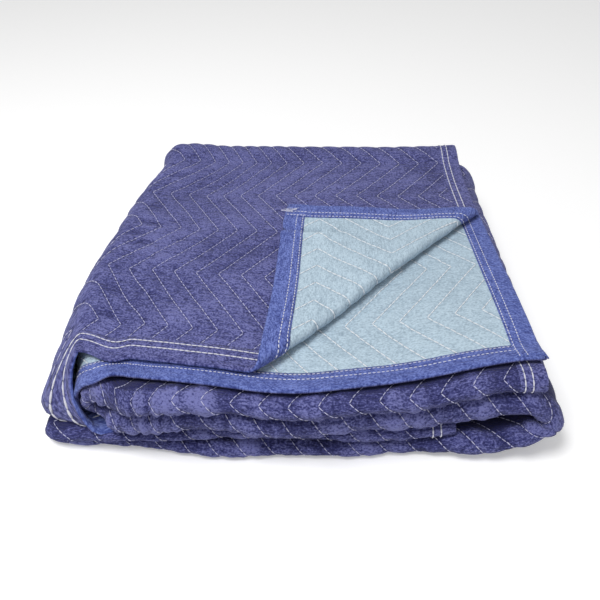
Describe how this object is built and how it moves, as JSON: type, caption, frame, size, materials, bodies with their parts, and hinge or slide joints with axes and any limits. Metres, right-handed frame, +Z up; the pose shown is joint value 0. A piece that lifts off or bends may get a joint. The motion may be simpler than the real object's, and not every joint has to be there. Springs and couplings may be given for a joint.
{
  "type": "moving blanket",
  "caption": "Quilted moving blanket folded into a thick square pack, one top corner turned back, with cloth tape sewn along its edges.",
  "frame": {"origin": "centre of the bounding box, on the surface under the pack", "axes": "+Z up; -Y is the front, where the plies' free edges and the nose folds show; +X is the side of the turned corner's open edge"},
  "size_m": [0.514, 0.4716, 0.1257],
  "materials": {
    "quilted_cotton": "matt woven cotton, navy on the face and pale aqua on the back",
    "binding_cloth": "matt woven tape"
  },
  "bodies": {
    "root": {"quilted_pad": "quilted_cotton", "binding_long_a": "binding_cloth", "binding_long_b": "binding_cloth", "binding_end_1": "binding_cloth", "binding_end_4": "binding_cloth"}
  },
  "joints": []
}
